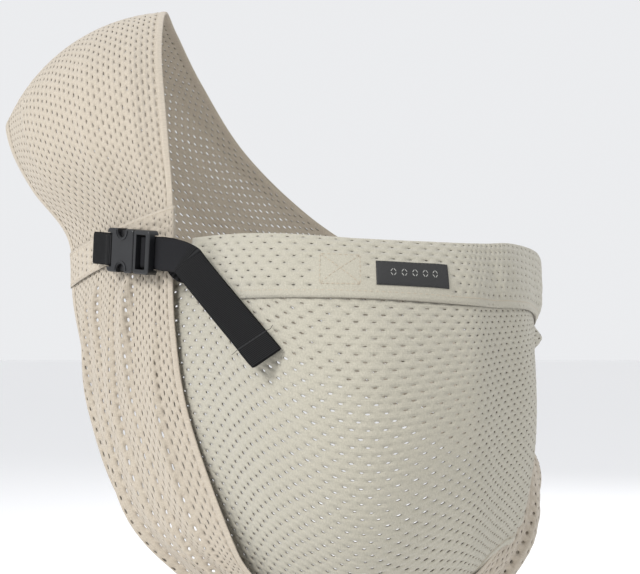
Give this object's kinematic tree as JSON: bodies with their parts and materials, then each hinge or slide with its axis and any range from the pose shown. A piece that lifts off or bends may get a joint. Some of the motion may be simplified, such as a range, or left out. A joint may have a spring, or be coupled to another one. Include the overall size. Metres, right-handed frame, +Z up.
{
  "type": "baby wrap sling",
  "caption": "One-shoulder mesh baby sling in its worn shape: wide diagonal loop, deep seat pouch with a folded head support, and a side-release buckle on black webbing.",
  "frame": {"origin": "underside of the band at its crown, where it rests on the wearer's shoulder", "axes": "+Z up, +Y from the wearer's chest towards the back, +X towards the wearer's left side"},
  "size_m": [0.3515, 0.3523, 0.4009],
  "materials": {
    "band_mesh": "warm beige knitted mesh with slit holes",
    "pouch_mesh": "beige knitted mesh, stretched open over the pouch",
    "thread": "tone-on-tone sewing thread",
    "webbing": "black ribbed polyester webbing",
    "buckle_plastic": "charcoal moulded acetal, fine spark texture",
    "prong_plastic": "charcoal moulded acetal",
    "label_weave": "black woven damask label",
    "label_thread": "black sewing thread"
  },
  "bodies": {
    "sling": {"front_band": "band_mesh", "seat_band": "band_mesh", "back_band": "band_mesh", "pouch_panel": "pouch_mesh", "head_support_hem": "pouch_mesh", "keeper_sleeve": "band_mesh", "socket_strap": "webbing", "anchor_strap": "webbing", "buckle_socket": "buckle_plastic", "woven_label": "label_weave", "label_stitches": "label_thread", "hem_stitches": "thread", "anchor_box_stitches": "thread", "keeper_stitches": "thread"},
    "plug": {"buckle_plug": "buckle_plastic", "tail_strap_upper": "webbing"},
    "upper_prong": {"upper_prong": "prong_plastic"},
    "lower_prong": {"lower_prong": "prong_plastic"},
    "strap_tail": {"tail_strap_lower": "webbing", "tail_end_fold": "webbing"}
  },
  "joints": [
    {"name": "buckle_slide", "type": "slide", "parent": "sling", "child": "plug", "axis": [0.7054, -0.7054, -0.0698], "range_m": [0, 0.024], "deforming": ["anchor_strap", "upper_prong", "lower_prong"]},
    {"name": "upper_prong_squeeze", "type": "hinge", "parent": "plug", "child": "upper_prong", "pos_m": [0.04694, -0.11274, -0.13362], "axis": [-0.7071, -0.7071, 0], "range_deg": [0, 8], "stiffness_Nm_per_rad": 0.8},
    {"name": "lower_prong_squeeze", "type": "hinge", "parent": "plug", "child": "lower_prong", "pos_m": [0.04627, -0.11206, -0.14718], "axis": [-0.7071, -0.7071, 0], "range_deg": [-8, 0], "stiffness_Nm_per_rad": 0.8},
    {"name": "tail_swing", "type": "hinge", "parent": "plug", "child": "strap_tail", "pos_m": [0.0795, -0.154, -0.1466], "axis": [-0.7623, -0.1404, -0.6319], "range_deg": [0, 60]}
  ],
  "couplings": [
    {"joint": "lower_prong_squeeze", "follows": "upper_prong_squeeze", "ratio": -1}
  ]
}
